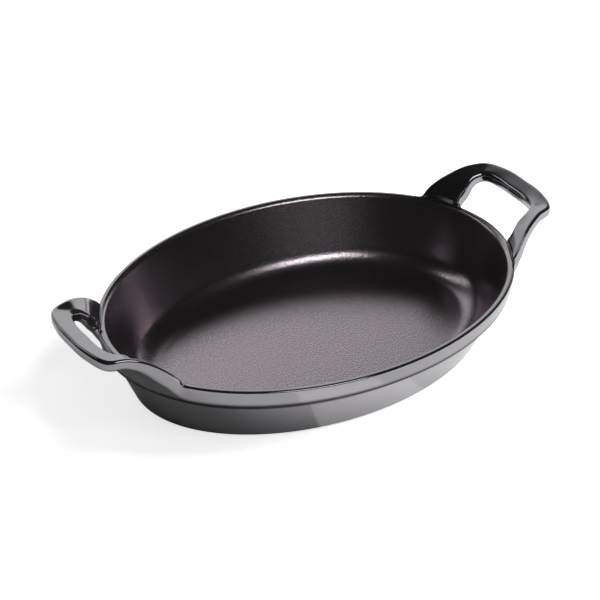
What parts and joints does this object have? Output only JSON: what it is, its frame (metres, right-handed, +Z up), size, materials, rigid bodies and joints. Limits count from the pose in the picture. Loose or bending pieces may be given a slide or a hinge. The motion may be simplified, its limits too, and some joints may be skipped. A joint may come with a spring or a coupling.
{
  "type": "oval baking dish",
  "caption": "Oval enamelled cast iron baking dish with a raised rim band and a loop handle at each end, glossy outside and matte inside.",
  "frame": {"origin": "middle of the foot, on the surface that the dish stands on", "axes": "+X along the dish to the right handle, +Y to the far long side, +Z up"},
  "size_m": [0.338, 0.2078, 0.0696],
  "materials": {
    "iron": "bare ground casting, seen only on the foot ring",
    "gloss_enamel": "glossy graphite grey enamel",
    "matte_enamel": "matte black enamel with a fine grain"
  },
  "bodies": {
    "root": {"iron_bowl": "iron", "left_handle": "iron", "right_handle": "iron", "exterior_enamel": "gloss_enamel", "interior_enamel": "matte_enamel", "underside_enamel": "gloss_enamel"}
  },
  "joints": []
}
